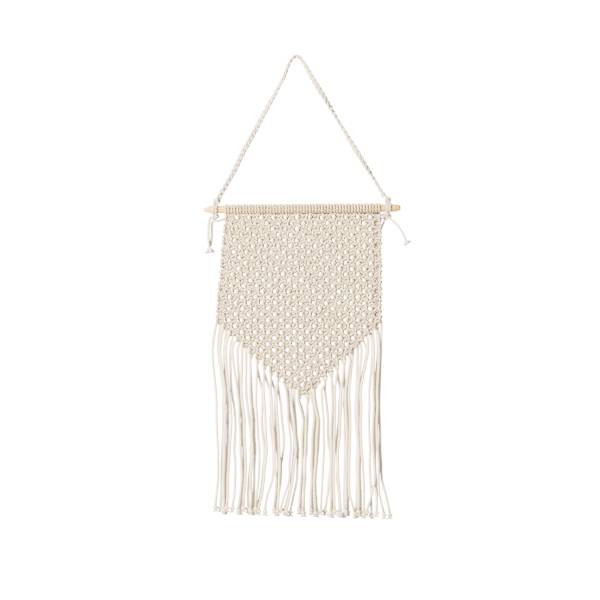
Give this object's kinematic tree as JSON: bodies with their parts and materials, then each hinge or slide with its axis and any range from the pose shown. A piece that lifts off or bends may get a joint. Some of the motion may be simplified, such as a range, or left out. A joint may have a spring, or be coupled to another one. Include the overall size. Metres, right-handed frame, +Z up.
{
  "type": "macrame wall hanging on a wooden dowel",
  "caption": "Macrame wall hanging: alternating square knots hung by lark's heads from a whittled dowel, with a pointed lower edge, long knotted fringe and braided hanging cord.",
  "frame": {"origin": "where the hanging cord rests on its nail, at the inside of the cord's bend", "axes": "+Z up, the front of the hanging faces -Y, +X to the right as the front is seen"},
  "size_m": [0.2666, 0.0145, 0.6061],
  "materials": {
    "pale_wood": "whittled, unvarnished pale wood",
    "cotton_cord": "matt twisted natural cotton cord",
    "fringe_cord": "matt twisted natural cotton cord"
  },
  "bodies": {
    "root": {"dowel": "pale_wood", "heading_loops": "cotton_cord", "net": "cotton_cord", "fringe_left": "fringe_cord", "fringe_right": "fringe_cord", "hanging_cord": "cotton_cord", "tie_left": "cotton_cord", "tie_right": "cotton_cord", "tail_left_outer": "cotton_cord", "tail_left_inner": "cotton_cord", "tail_left_return": "cotton_cord", "tail_right_outer": "cotton_cord", "tail_right_return": "cotton_cord", "tail_knot_left": "cotton_cord", "tail_knot_right": "cotton_cord"}
  },
  "joints": []
}
